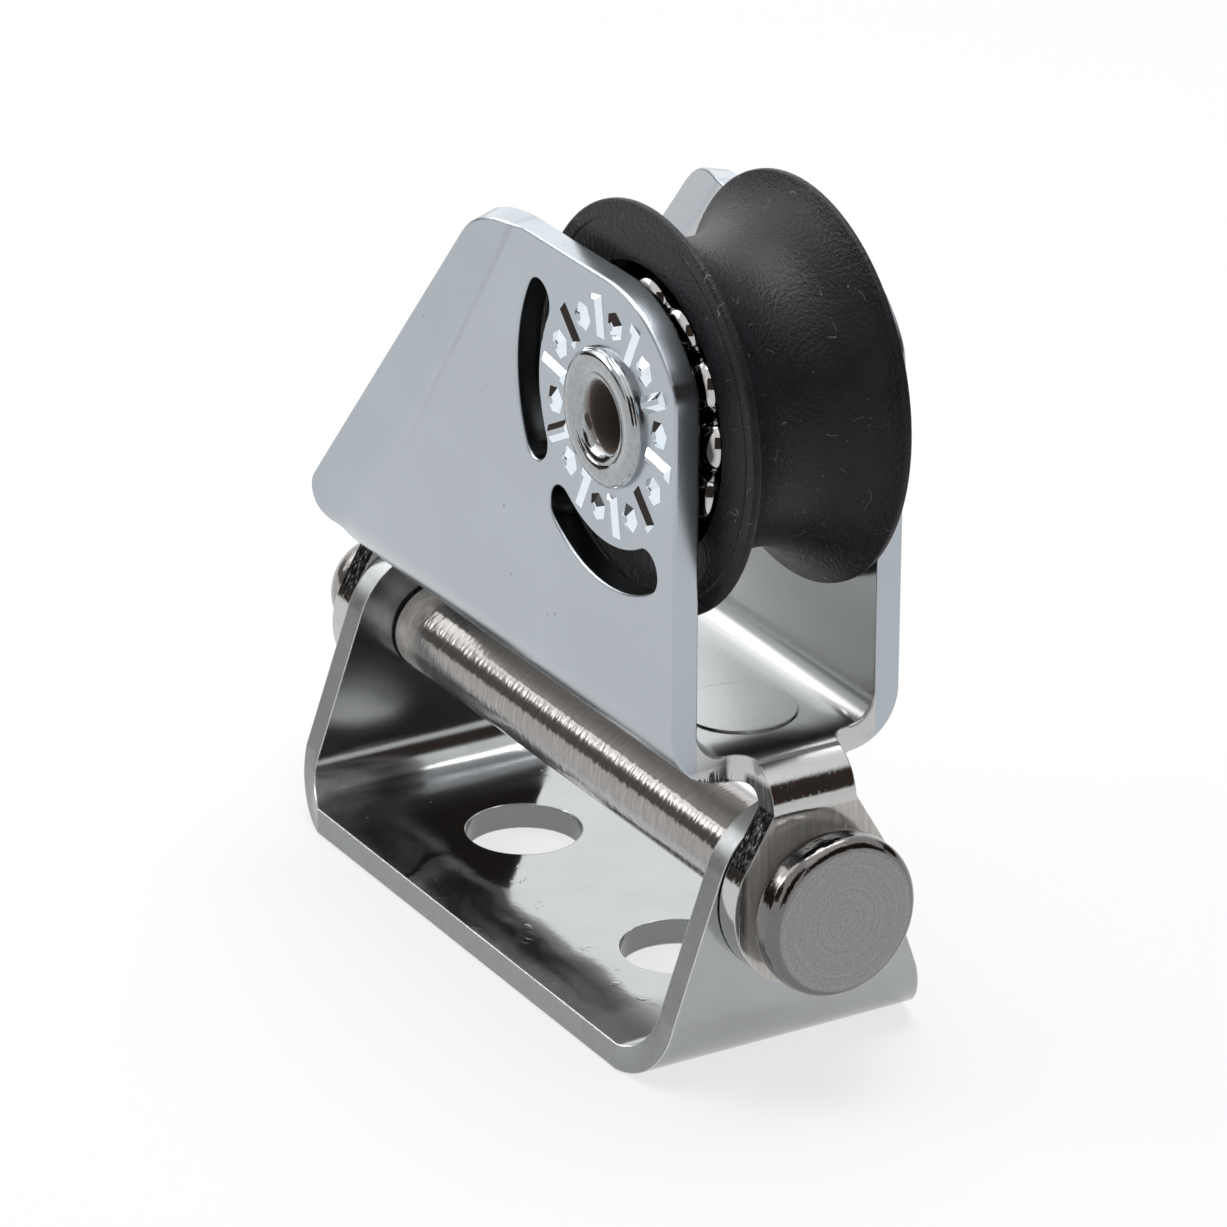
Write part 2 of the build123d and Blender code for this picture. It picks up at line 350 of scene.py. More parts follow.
def lug_face_reflection(tree, parts, side):
    """The lugs' flat faces, which rub against the pin's head and against the ears; they carry a painted
    reflection of the head.
    """
    flat = product(tree, ramp(tree, parts[Z], *LUG_FACE_TOP), facing(tree, X, 0.9, 0.97))
    return product(tree, flat, ramp(tree, side, *LUG_FACE_SIDE))


def torn_edge(tree, parts):
    """The lugs' long edges, torn where the sheet was sheared, and streaked near black there as painted
    shade.
    """
    band = product(tree, ramp(tree, parts[Z], *TORN_TOP), ramp(tree, parts[Z], *TORN_FOOT))
    return product(tree, band, facing(tree, Y, 0.7, 0.85))


def slot_walls(tree, parts):
    """The punched walls of the kidney slots, which are painted dark as painted shade."""
    near = ramp(tree, reach_from_axle(tree, parts), *SLOT_REACH)
    walls = product(tree, near, facing(tree, Y, 0.5, 0.3))
    behind = calc(tree, "LESS_THAN", parts[X], SLOT_FRONT)
    below = calc(tree, "LESS_THAN", parts[Z], SLOT_TOP)
    return product(tree, walls, product(tree, behind, below))


def lug_necks(tree, parts, side, ends):
    """The filleted necks from which the lugs hang."""
    neck = product(tree, ramp(tree, side, *NECK_SIDE), ramp(tree, parts[Z], *NECK_TOP))
    return product(tree, neck, ends, ramp(tree, parts[Z], *NECK_FOOT))


def web_fall(tree, parts, along):
    """Height of the web's upper face, which falls off a little towards its bends, in millimetres."""
    past = calc(tree, "MAXIMUM", calc(tree, "SUBTRACT", along, WEB_FALL_START), 0.0)
    fall = calc(tree, "POWER", calc(tree, "DIVIDE", past, 1 * MM), 2.0)
    level = calc(tree, "COMPARE", parts[Z], WEB_TOP, 0.25 * MM)
    upper = product(tree, level, facing(tree, Z, 0.9, 0.95))
    return product(tree, upper, product(tree, fall, -0.038))


# Finishes

def satin_sheet(colour):
    """Satin cheeks with drawn lugs and punched slots, and painted light, shade and reflections."""
    material, tree, shader = new_finish("satin_sheet")
    parts = place_axes(tree)
    along = calc(tree, "ABSOLUTE", parts[X])
    side = calc(tree, "ABSOLUTE", parts[Y])
    cloud = grain(tree, 130, 3.0)
    streak = grain(tree, 5200, 3.0, stretch=(1, 1, 0.06))
    soft = rounded(tree)
    # Masks
    inside = ramp(tree, side, *INNER_FACE)
    under = web_underside(tree, parts, along)
    ends = ramp(tree, along, *LUG_ENDS)
    lug = product(tree, ramp(tree, parts[Z], *LUG_TOP), ends)
    face = lug_face_reflection(tree, parts, side)
    torn = torn_edge(tree, parts)
    edge = product(tree, painted_edge_line(tree, soft, 0.84, 0.76), inverse(tree, torn))
    # Colour, from the broad cheeks to the lugs and the dirt, with painted light, shade and reflections
    tone = blend(tree, ramp(tree, cloud, 0.3, 0.7), shade(colour, 0.95), shade(colour, 1.03))
    tone = blend(tree, specks(tree, 1300, 0.012, 0.16), tone, shade(colour, 0.72))
    # Painted shade along the bend line of each rear strip
    tone = blend(tree, bend_line_shade(tree, parts, cloud), tone, shade(colour, 0.87))
    # Painted light: the inner faces get a lighter, neutral copy of the sheet
    tone = blend(tree, inside, tone, shade(INNER_SHEET_PAINTED_LIGHT))
    # Painted light: the web's underside gets a much lighter colour
    tone = blend(tree, under, tone, shade(UNDER_SHEET_PAINTED_LIGHT))
    tone = blend(tree, lug, tone, shade(LUG_SHEET))
    # Painted reflection of the pin's head: brown-grey streaks on the lugs' flat faces
    lug_reflection = blend(tree, ramp(tree, streak, 0.3, 0.7), shade(LUG_REFLECTION_DARK), shade(LUG_REFLECTION_LIGHT))
    tone = blend(tree, face, tone, lug_reflection)
    # Painted shade: the torn edges are streaked near black
    torn_shade = ramp(tree, streak, 0.45, 0.72)
    tone = blend(tree, torn, tone, blend(tree, torn_shade, shade(LUG_SHEET, 0.03), shade(LUG_SHEET, 0.36)))
    # Painted shade: the slot walls are darkened
    tone = blend(tree, slot_walls(tree, parts), tone, shade(colour, 0.3))
    # Painted shade lines along the sheet's sharp edges, and painted highlight lines along the lugs' edges
    line = blend(tree, lug, shade(colour, 0.30), shade(LUG_EDGE_HIGHLIGHT))
    tone = blend(tree, product(tree, edge, ramp(tree, cloud, 0.3, 0.5)), tone, line)
    # The painted reflection on the lugs' faces is also made less metallic
    metallic = inverse(tree, product(tree, face, 0.55))
    rough = between(tree, lug, spread(tree, cloud, 0.20, 0.27), spread(tree, streak, 0.05, 0.14))
    rough = calc(tree, "ADD", rough, product(tree, torn, 0.15))
    rough = calc(tree, "ADD", rough, product(tree, under, 0.3))
    # Relief: fine satin grain, the web's fall, then creases, scratches and waves on the lugs
    crease = grain(tree, 3400, 1.0, stretch=(1, 1, 0.07))
    necks = lug_necks(tree, parts, side, ends)
    normal = bump(tree, grain(tree, 7000), 0.0022 * MM, soft)
    normal = bump(tree, web_fall(tree, parts, along), 1 * MM, normal)
    normal = bump(tree, product(tree, crease, necks), 0.16 * MM, normal)
    normal = bump(tree, product(tree, ramp(tree, streak, 0.62, 0.72), lug), 0.006 * MM, normal)
    normal = bump(tree, product(tree, grain(tree, 420), lug), 0.035 * MM, normal)
    wire(tree, shader, tone, rough, normal, metallic)
    return material


def polished_sheet(colour):
    """Polished base, duller on its ears, with cut edges and two punched holes; painted shade on the holes'
    walls and painted highlight lines on the edges.
    """
    material, tree, shader = new_finish("polished_sheet")
    parts = place_axes(tree)
    along = calc(tree, "ABSOLUTE", parts[X])
    wave = grain(tree, 190, 1.0)
    soft = rounded(tree)
    # Masks
    cut = product(tree, facing(tree, X, 0.45, 0.2), facing(tree, Z, 0.9, 0.7))
    from_hole = reach_from(tree, calc(tree, "SUBTRACT", along, HOLE_X), parts[Y])
    wall = product(tree, ramp(tree, from_hole, *HOLE_WALL), facing(tree, Z, 0.6, 0.4))
    clear = calc(tree, "SUBTRACT", 0.7, cut, clamp=True)
    dust = product(tree, specks(tree, 1900, 0.03, 0.13), clear)
    edge = product(tree, painted_edge_line(tree, soft, 0.93, 0.85), 0.9)
    # Colour
    cloud = ramp(tree, grain(tree, 420, 3.0), 0.35, 0.65)
    tone = blend(tree, cloud, shade(colour, 0.97), shade(colour, 1.02))
    grey = blend(tree, grain(tree, 2200, 3.0), shade(colour, 0.62), shade(colour, 0.82))
    tone = blend(tree, cut, tone, grey)
    # Painted shade: the holes' walls are darkened
    tone = blend(tree, wall, tone, shade(colour, 0.6))
    tone = blend(tree, dust, tone, shade(colour, 1.5))
    # Painted highlight lines along the sharp edges
    tone = blend(tree, edge, tone, shade(BASE_EDGE_HIGHLIGHT))
    # The ears and the bends were handled more than the floor and reflect less sharply
    cut_rough = spread(tree, grain(tree, 2600), 0.16, 0.3)
    rough = between(tree, cut, spread(tree, wave, 0.045, 0.085), cut_rough)
    handled = product(tree, ramp(tree, along, *HANDLED_ENDS), 0.11)
    rough = calc(tree, "ADD", rough, handled)
    rough = calc(tree, "ADD", rough, product(tree, dust, 0.3))
    # Relief: the sheet's waves, fine grain and scuffs low on the ears
    scuff = ramp(tree, grain(tree, 900, 4.0, stretch=(1, 1, 0.25)), 0.62, 0.7)
    low = ramp(tree, parts[Z], *SCUFF_HEIGHT)
    normal = bump(tree, wave, 0.07 * MM, soft)
    normal = bump(tree, grain(tree, 2100), 0.0018 * MM, normal)
    normal = bump(tree, product(tree, scuff, low), 0.004 * MM, normal)
    wire(tree, shader, tone, rough, normal)
    return material


def turned_pin(colour):
    """Turned shaft with a dull film, and a clean, dark head; painted light by the rear ear and on the head's
    back, and a ring of painted shadow.
    """
    material, tree, shader = new_finish("turned_pin")
    parts = place_axes(tree)
    end = facing(tree, X, 0.9, 0.97)
    strokes = grain(tree, 3000, 3.0, stretch=(1, 0.35, 0.35))
    fine = grain(tree, 8000, stretch=(1, 0.12, 0.12))
    lathe = lathe_rings(tree, reach_from_pin(tree, parts), 6000.0, 3.0)
    turned = calc(
        tree, "ADD", product(tree, lathe, 0.4), product(tree, grain(tree, 9000), 0.6))
    stroke = ramp(tree, strokes, 0.35, 0.65)
    # Masks; by the rear ear the shaft gets painted light, with a ring of painted shadow against the ear
    head = ramp(tree, parts[X], *HEAD_START)
    back = product(tree, end, ramp(tree, parts[X], *HEAD_BACK_FACE))
    painted_light_end = product(tree, ramp(tree, parts[X], *PAINTED_LIGHT_END), ramp(tree, parts[X], *PAINTED_LIGHT_STOP))
    gap_shadow = product(tree, painted_light_end, ramp(tree, parts[X], *GAP_SHADOW_RING))
    # Colour
    tone = blend(tree, stroke, shade(colour, 0.92), shade(colour, 1.12))
    tone = blend(tree, ramp(tree, fine, 0.4, 0.6), shade(colour, 0.88), tone)
    tone = blend(tree, head, tone, shade(colour, 0.49))
    painted_light = blend(tree, stroke, shade(PAINTED_LIGHT_LOW), shade(PAINTED_LIGHT_HIGH))
    # Painted light on the shaft by the rear ear, and a ring of painted shadow where it meets the ear
    tone = blend(tree, painted_light_end, tone, blend(tree, gap_shadow, painted_light, shade(GAP_SHADOW)))
    face = blend(tree, ramp(tree, turned, 0.34, 0.66), shade(HEAD_DARK), shade(HEAD_LIGHT))
    tone = blend(tree, end, tone, face)
    # Painted light: end faces behind the head, chiefly its back face, are painted much lighter in the shaded
    # gap against the lug
    tone = blend(tree, back, tone, shade(colour, 2.3))
    # The shaft carries a film from handling and salt, and the head is clean; the painted light by the rear
    # ear is less metallic and rougher
    clean = calc(tree, "ADD", 0.78, product(tree, head, 0.22))
    metallic = calc(tree, "SUBTRACT", clean, product(tree, painted_light_end, 0.48))
    rough = between(tree, end, spread(tree, strokes, 0.08, 0.16), 0.42)
    rough = calc(tree, "ADD", rough, product(tree, painted_light_end, 0.12))
    # Relief: strokes round the shaft, rings on the ends
    side = inverse(tree, end)
    normal = bump(tree, product(tree, strokes, side), 0.034 * MM)
    normal = bump(tree, product(tree, fine, side), 0.003 * MM, normal)
    normal = bump(tree, product(tree, turned, end), 0.010 * MM, normal)
    wire(tree, shader, tone, rough, normal, metallic)
    return material


def polished_rivet(colour):
    """Polished, flared axle with a dull film in its bore."""
    material, tree, shader = new_finish("polished_rivet")
    radius = reach_from_axle(tree, place_axes(tree))
    bore = ramp(tree, radius, *AXLE_BORE)
    pits = grain(tree, 3800, 3.0)
    tone = blend(tree, ramp(tree, pits, 0.35, 0.6), shade(colour, 0.88), shade(colour, 1.03))
    tone = blend(tree, bore, tone, shade(BORE_FILM))
    metallic = inverse(tree, product(tree, bore, 0.75))
    # The flared rim is crowned between its mouth and its edge
    off = calc(tree, "DIVIDE", calc(tree, "SUBTRACT", radius, CROWN_REACH), CROWN_HALF)
    crown = calc(tree, "SUBTRACT", 1.0, product(tree, off, off), clamp=True)
    normal = bump(tree, crown, 0.17 * MM)
    normal = bump(tree, grain(tree, 900), 0.03 * MM, normal)
    normal = bump(tree, pits, 0.004 * MM, normal)
    wire(tree, shader, tone, spread(tree, pits, 0.07, 0.16), normal, metallic)
    return material


def race_steel(colour):
    """Turned steel of the inner race, darkened as painted shade between the balls."""
    material, tree, shader = new_finish("race_steel")
    lathe = lathe_rings(tree, reach_from_axle(tree, place_axes(tree)), 4000.0, 2.0)
    tone = blend(tree, lathe, shade(colour, 0.7), shade(colour, 0.95))
    rough = spread(tree, lathe, 0.16, 0.28)
    wire(tree, shader, tone, rough, bump(tree, lathe, 0.004 * MM))
    return material


def black_acetal(colour):
    """Moulded black acetal with a fine satin grain, dust and lint."""
    material, tree, shader = new_finish("black_acetal", metallic=0.0, ior=1.42)
    shader.inputs["Specular IOR Level"].default_value = 0.25
    coarse = grain(tree, 900, 3.0)
    tone = blend(tree, ramp(tree, coarse, 0.35, 0.65), shade(colour, 0.85), shade(colour, 1.2))
    coarse_dust = product(tree, specks(tree, 1500, 0.05, 0.10), 0.4)
    fine_dust = product(tree, specks(tree, 3300, 0.05, 0.13), 0.3)
    tone = blend(tree, coarse_dust, tone, shade(COARSE_DUST))
    tone = blend(tree, fine_dust, tone, shade(FINE_DUST))
    # Lint: short pieces of the lines where one noise crosses its middle
    off_middle = calc(tree, "ABSOLUTE", calc(tree, "SUBTRACT", grain(tree, 620, 0.0), 0.5))
    thread = calc(tree, "LESS_THAN", off_middle, 0.0055)
    piece = calc(tree, "GREATER_THAN", grain(tree, 1100, 0.0, centre=(3, 1, 2)), 0.67)
    tone = blend(tree, product(tree, thread, piece, 0.35), tone, shade(LINT))
    # A fine step round each side marks the edge of the moulded rim
    step = ramp(tree, reach_from_axle(tree, place_axes(tree)), *RIM_STEP)
    normal = bump(tree, product(tree, step, facing(tree, Y, 0.9, 0.97)), 0.05 * MM)
    normal = bump(tree, grain(tree, 5200), 0.055 * MM, normal)
    normal = bump(tree, grain(tree, 1900), 0.018 * MM, normal)
    wire(tree, shader, tone, spread(tree, coarse, 0.34, 0.44), normal)
    return material


def ball_steel(colour):
    """Bright balls, with painted shade on the side that faces the cheek."""
    material, tree, shader = new_finish("ball_steel")
    cloud = grain(tree, 900)
    tone = blend(tree, cloud, shade(colour, 0.94), shade(colour))
    outward = calc(tree, "ABSOLUTE", place_axes(tree)[Y])
    outward = calc(tree, "ADD", outward, spread(tree, grain(tree, 1700), -0.1 * MM, 0.1 * MM))
    # Painted shade on the side of each ball that faces the cheek
    tone = blend(tree, ramp(tree, outward, *PAINTED_SHADE_SIDE), tone, shade(colour, 0.12))
    normal = bump(tree, grain(tree, 5000), 0.0006 * MM)
    wire(tree, shader, tone, spread(tree, cloud, 0.04, 0.08), normal)
    return material


def pressed_steel(colour):
    """The raised marks: burnished facets, painted lighter as painted highlights, and satin tops."""
    material, tree, shader = new_finish("pressed_steel")
    cloud = grain(tree, 1500)
    level = facing(tree, Y, 0.95, 0.99)
    # Painted highlight: the facets are about twice as light as the tops
    facet = blend(tree, cloud, shade(colour, 1.8), shade(colour, 2.0))
    tone = blend(tree, level, facet, shade(colour))
    normal = bump(tree, grain(tree, 3000), 0.001 * MM)
    wire(tree, shader, tone, between(tree, level, 0.07, 0.22), normal)
    return material


# Modelling helpers

def deselect():
    """Leaves edit mode and selects nothing."""
    if bpy.context.mode != "OBJECT":
        bpy.ops.object.mode_set(mode="OBJECT")
    bpy.ops.object.select_all(action="DESELECT")


def settle(piece):
    """Applies the piece's place to its mesh, so its object sits at the origin."""
    deselect()
    piece.select_set(True)
    bpy.context.view_layer.objects.active = piece
    bpy.ops.object.transform_apply(location=True, rotation=True, scale=True)


def pick_faces(test):
    """In edit mode, selects the faces whose normal passes the test."""
    piece = bpy.context.edit_object
    shape = bmesh.from_edit_mesh(piece.data)
    bpy.ops.mesh.select_mode(type="FACE")
    for face in shape.faces:
        face.select_set(False)
    chosen = [face for face in shape.faces if test(face.normal)]
    for face in chosen:
        face.select_set(True)
    bmesh.update_edit_mesh(piece.data)
    if not chosen:
        raise RuntimeError("no face was found to shape on " + piece.name)


def open_back(least):
    """In edit mode, deletes the faces that look towards the cheek, which hides them."""
    pick_faces(lambda normal: normal.y > least)
    bpy.ops.mesh.delete(type="FACE")
    bpy.ops.object.mode_set(mode="OBJECT")


def rib_mark(length, width, height):
    """A raised rib with a ridge and sloping ends, standing on the plane y = 0 and facing -Y."""
    deselect()
    bpy.ops.mesh.primitive_cube_add(size=1, location=(0, -height / 2, 0))
    rib = bpy.context.active_object
    rib.scale = (width, height, length)
    settle(rib)
    bpy.ops.object.mode_set(mode="EDIT")
    pick_faces(lambda normal: normal.y < -0.5)
    bpy.ops.transform.resize(
        value=(0.3, 1, (length - 1.6 * height) / length), center_override=(0, -height, 0))
    open_back(0.5)
    return rib


def stud_mark(width, height):
    """A raised six-sided stud with sloping facets, standing on the plane y = 0 and facing -Y."""
    deselect()
    bpy.ops.mesh.primitive_cone_add(
        vertices=6, radius1=width / 2, radius2=0.2 * width, depth=height,
        location=(0, -height / 2, 0), rotation=(pi / 2, 0, 0))
    stud = bpy.context.active_object
    settle(stud)
    bpy.ops.object.mode_set(mode="EDIT")
    pick_faces(lambda normal: normal.y < -0.99)
    bpy.ops.mesh.inset(thickness=0.04 * width, depth=0.12 * height)
    open_back(0.9)
    return stud


def copy_round(piece, angle, reach):
    """Own copy of a mark, moved out to its reach and turned about the axle."""
    twin = piece.copy()
    twin.data = piece.data.copy()
    bpy.context.scene.collection.objects.link(twin)
    turn = Matrix.Rotation(-angle, 4, "Y")
    twin.data.transform(turn @ Matrix.Translation((0, 0, reach)))
    return twin


def join_marks(marks, name):
    """Joins the marks of one cheek to one piece."""
    deselect()
    for mark in marks:
        mark.select_set(True)
    bpy.context.view_layer.objects.active = marks[0]
    bpy.ops.object.join()
    whole = bpy.context.active_object
    whole.name = name
    whole.data.name = name
    return whole


# Studio helpers

def sight_axes(azimuth, elevation):
    """Right, up and back of a view; azimuth 0 stands at -Y and looks along +Y, 90 stands at +X."""
    back = Vector((sin(azimuth) * cos(elevation), -cos(azimuth) * cos(elevation), sin(elevation)))
    right = Vector((cos(azimuth), sin(azimuth), 0))
    return right, back.cross(right), back


def seen_directly(tree):
    """1 for rays from the camera and for reflections and refractions, 0 for the light on things."""
    path = add_node(tree, "ShaderNodeLightPath").outputs
    seen = calc(tree, "MAXIMUM", path["Is Camera Ray"], path["Is Glossy Ray"])
    return calc(tree, "MAXIMUM", seen, path["Is Transmission Ray"])


def show_surface(tree, shader_output, kind="ShaderNodeOutputMaterial"):
    """Puts a shader on the tree's output."""
    tree.links.new(shader_output, add_node(tree, kind).inputs["Surface"])


def empty_material(name):
    """Material with no nodes yet; returns it and its tree."""
    material = bpy.data.materials.new(name)
    material.use_nodes = True
    material.node_tree.nodes.clear()
    return material, material.node_tree


def card(name, azimuth, elevation, distance, width, height, colour, strength):
    """A studio card that only reflections see; its angles are in degrees."""
    right, up, back = sight_axes(radians(azimuth), radians(elevation))
    deselect()
    bpy.ops.mesh.primitive_plane_add(size=1)
    board = bpy.context.active_object
    board.name = name
    turn = Matrix((right * width, up * height, back)).transposed().to_4x4()
    board.data.transform(Matrix.Translation(back * distance) @ turn)
    material, tree = empty_material(name)
    glow = add_node(tree, "ShaderNodeEmission", {"Color": shade(colour), "Strength": strength})
    show_surface(tree, glow.outputs[0])
    board.data.materials.append(material)
    board.visible_camera = False
    board.visible_diffuse = False
    board.visible_shadow = False
    board.visible_transmission = False


# Settings

class LeadBlockFinish(bpy.types.PropertyGroup):
    """Colours of the block's surfaces."""
    cheek: bpy.props.FloatVectorProperty(
        name="Cheek sheet", description="Colour of the satin sheet of the cheeks",
        subtype="COLOR", size=3, min=0, max=1, default=(0.415, 0.452, 0.485))
    base: bpy.props.FloatVectorProperty(
        name="Base sheet", description="Colour of the polished sheet of the base",
        subtype="COLOR", size=3, min=0, max=1, default=(0.374, 0.386, 0.391))
    pin: bpy.props.FloatVectorProperty(
        name="Hinge pin", description="Colour of the turned pin",
        subtype="COLOR", size=3, min=0, max=1, default=(0.335, 0.322, 0.312))
    rivet: bpy.props.FloatVectorProperty(
        name="Axle", description="Colour of the flared axle",
        subtype="COLOR", size=3, min=0, max=1, default=(0.36, 0.375, 0.385))
    # The inner race's default colour is darkened as painted shade between the balls
    race: bpy.props.FloatVectorProperty(
        name="Inner race", description="Colour of the ball bearing's inner race",
        subtype="COLOR", size=3, min=0, max=1, default=(0.17, 0.16, 0.15))
    sheave: bpy.props.FloatVectorProperty(
        name="Sheave", description="Colour of the acetal sheave",
        subtype="COLOR", size=3, min=0, max=1, default=(0.0115, 0.0095, 0.0125))
    ball: bpy.props.FloatVectorProperty(
        name="Balls", description="Colour of the balls",
        subtype="COLOR", size=3, min=0, max=1, default=(0.53, 0.52, 0.51))


class LeadBlockMarks(bpy.types.PropertyGroup):
    """Sizes of the ring of pressed marks round the axle."""
    count: bpy.props.IntProperty(
        name="Marks", description="Number of marks round the axle, ribs and studs in turn",
        min=4, max=40, default=20)
    reach: bpy.props.FloatProperty(
        name="Reach", description="Distance from the axle's centre to the middle of a mark",
        unit="LENGTH", subtype="DISTANCE", default=5.3 * MM)
    length: bpy.props.FloatProperty(
        name="Length", description="Length of a rib, outwards from the axle",
        unit="LENGTH", subtype="DISTANCE", default=2.3 * MM)
    rib_width: bpy.props.FloatProperty(
        name="Rib width", description="Width of a rib at its foot",
        unit="LENGTH", subtype="DISTANCE", default=0.95 * MM)
    stud_width: bpy.props.FloatProperty(
        name="Stud width", description="Width of a stud at its foot",
        unit="LENGTH", subtype="DISTANCE", default=1.6 * MM)
    height: bpy.props.FloatProperty(
        name="Height", description="How far a mark stands proud of the cheek",
        unit="LENGTH", subtype="DISTANCE", default=0.24 * MM)


class LeadBlockStudio(bpy.types.PropertyGroup):
    """The floor, the light and the camera."""
    floor: bpy.props.FloatVectorProperty(
        name="Floor", description="Colour of the floor",
        subtype="COLOR", size=3, min=0, max=1, default=(0.86, 0.86, 0.86))
    floor_radius: bpy.props.FloatProperty(
        name="Floor radius", description="Radius of the round floor",
        unit="LENGTH", subtype="DISTANCE", default=1.5)
    key_power: bpy.props.FloatProperty(
        name="Overhead lamp", description="Power of the large soft lamp overhead",
        unit="POWER", min=0, default=1.5)
    side_power: bpy.props.FloatProperty(
        name="Side lamp", description="Power of the soft lamp at the side",
        unit="POWER", min=0, default=0.5)
    fill: bpy.props.FloatProperty(
        name="Fill", description="Strength of the even light from all round",
        min=0, max=2, default=0.45)
    azimuth: bpy.props.FloatProperty(
        name="Azimuth", description="Camera's direction, from -Y towards +X",
        unit="ROTATION", subtype="ANGLE", default=radians(59.50))
    elevation: bpy.props.FloatProperty(
        name="Elevation", description="Camera's height above the floor as an angle",
        unit="ROTATION", subtype="ANGLE", default=radians(23.59))
    roll: bpy.props.FloatProperty(
        name="Roll", description="Camera's turn about its own line of sight",
        unit="ROTATION", subtype="ANGLE", default=radians(0.22))
    distance: bpy.props.FloatProperty(
        name="Distance", description="From the camera to the point it looks at",
        unit="LENGTH", subtype="DISTANCE", default=0.3519)
    target: bpy.props.FloatVectorProperty(
        name="Target", description="Point that the camera looks at",
        unit="LENGTH", subtype="XYZ", size=3, default=(0.00033, 0.00058, 0.01792))
    focal: bpy.props.FloatProperty(
        name="Lens", description="Focal length for a sensor 36 mm wide",
        subtype="DISTANCE_CAMERA", default=36 * 6500 / 1227)


# Pieces

class FinishBase(bpy.types.Operator):
    """Polished stainless finish for the base bracket"""
    bl_idname = "lead_block.finish_base"
    bl_label = "Finish base bracket"

    def execute(self, context):
        colours = context.scene.lead_block_finish
        dress(polished_sheet(colours.base), "base_bracket")
        return {"FINISHED"}


class FinishCheeks(bpy.types.Operator):
    """Satin stainless finish for the folded cheek bracket"""
    bl_idname = "lead_block.finish_cheeks"
    bl_label = "Finish cheek bracket"

    def execute(self, context):
        colours = context.scene.lead_block_finish
        dress(satin_sheet(colours.cheek), "cheek_bracket")
        return {"FINISHED"}


class FinishPin(bpy.types.Operator):
    """Turned finish for the hinge pin"""
    bl_idname = "lead_block.finish_pin"
    bl_label = "Finish hinge pin"

    def execute(self, context):
        colours = context.scene.lead_block_finish
        dress(turned_pin(colours.pin), "hinge_pin")
        return {"FINISHED"}


class FinishAxle(bpy.types.Operator):
    """Polished finish for the flared axle and turned finish for its race"""
    bl_idname = "lead_block.finish_axle"
    bl_label = "Finish axle and race"

    def execute(self, context):
        colours = context.scene.lead_block_finish
        dress(polished_rivet(colours.rivet), "axle_tube")
        dress(race_steel(colours.race), "hub_race")
        return {"FINISHED"}


class FinishSheave(bpy.types.Operator):
    """Fine satin grain for the acetal sheave"""
    bl_idname = "lead_block.finish_sheave"
    bl_label = "Finish sheave"

    def execute(self, context):
        colours = context.scene.lead_block_finish
        dress(black_acetal(colours.sheave), "sheave")
        return {"FINISHED"}


class FinishBalls(bpy.types.Operator):
    """Bright finish for both rows of balls"""
    bl_idname = "lead_block.finish_balls"
    bl_label = "Finish balls"

    def execute(self, context):
        colours = context.scene.lead_block_finish
        balls = [name for name in PARTS if name.startswith("ball_")]
        dress(ball_steel(colours.ball), *balls)
        return {"FINISHED"}


class PressMarks(bpy.types.Operator):
    """Ring of ribs and studs pressed into each cheek round the axle"""
    bl_idname = "lead_block.press_marks"
    bl_label = "Press ring of marks"

    def execute(self, context):
        sizes = context.scene.lead_block_marks
        finish = pressed_steel(context.scene.lead_block_finish.cheek)
        rib = rib_mark(sizes.length, sizes.rib_width, sizes.height)
        stud = stud_mark(sizes.stud_width, sizes.height)
        for name, cheek_y, turn in (
            ("pressed_marks_near", -CHEEK_Y, 0.0),
            ("pressed_marks_far", CHEEK_Y, pi),
        ):
            marks = []
            for n in range(sizes.count):
                model = stud if n % 2 else rib
                marks.append(copy_round(model, 2 * pi * (n + 0.5) / sizes.count, sizes.reach))
            whole = join_marks(marks, name)
            place = Matrix.Translation((AXLE_X, cheek_y, AXLE_Z)) @ Matrix.Rotation(turn, 4, "Z")
            whole.data.transform(place)
            whole.data.materials.clear()
            whole.data.materials.append(finish)
            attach(whole, "block")
        for model in (rib, stud):
            bpy.data.objects.remove(model)
        return {"FINISHED"}


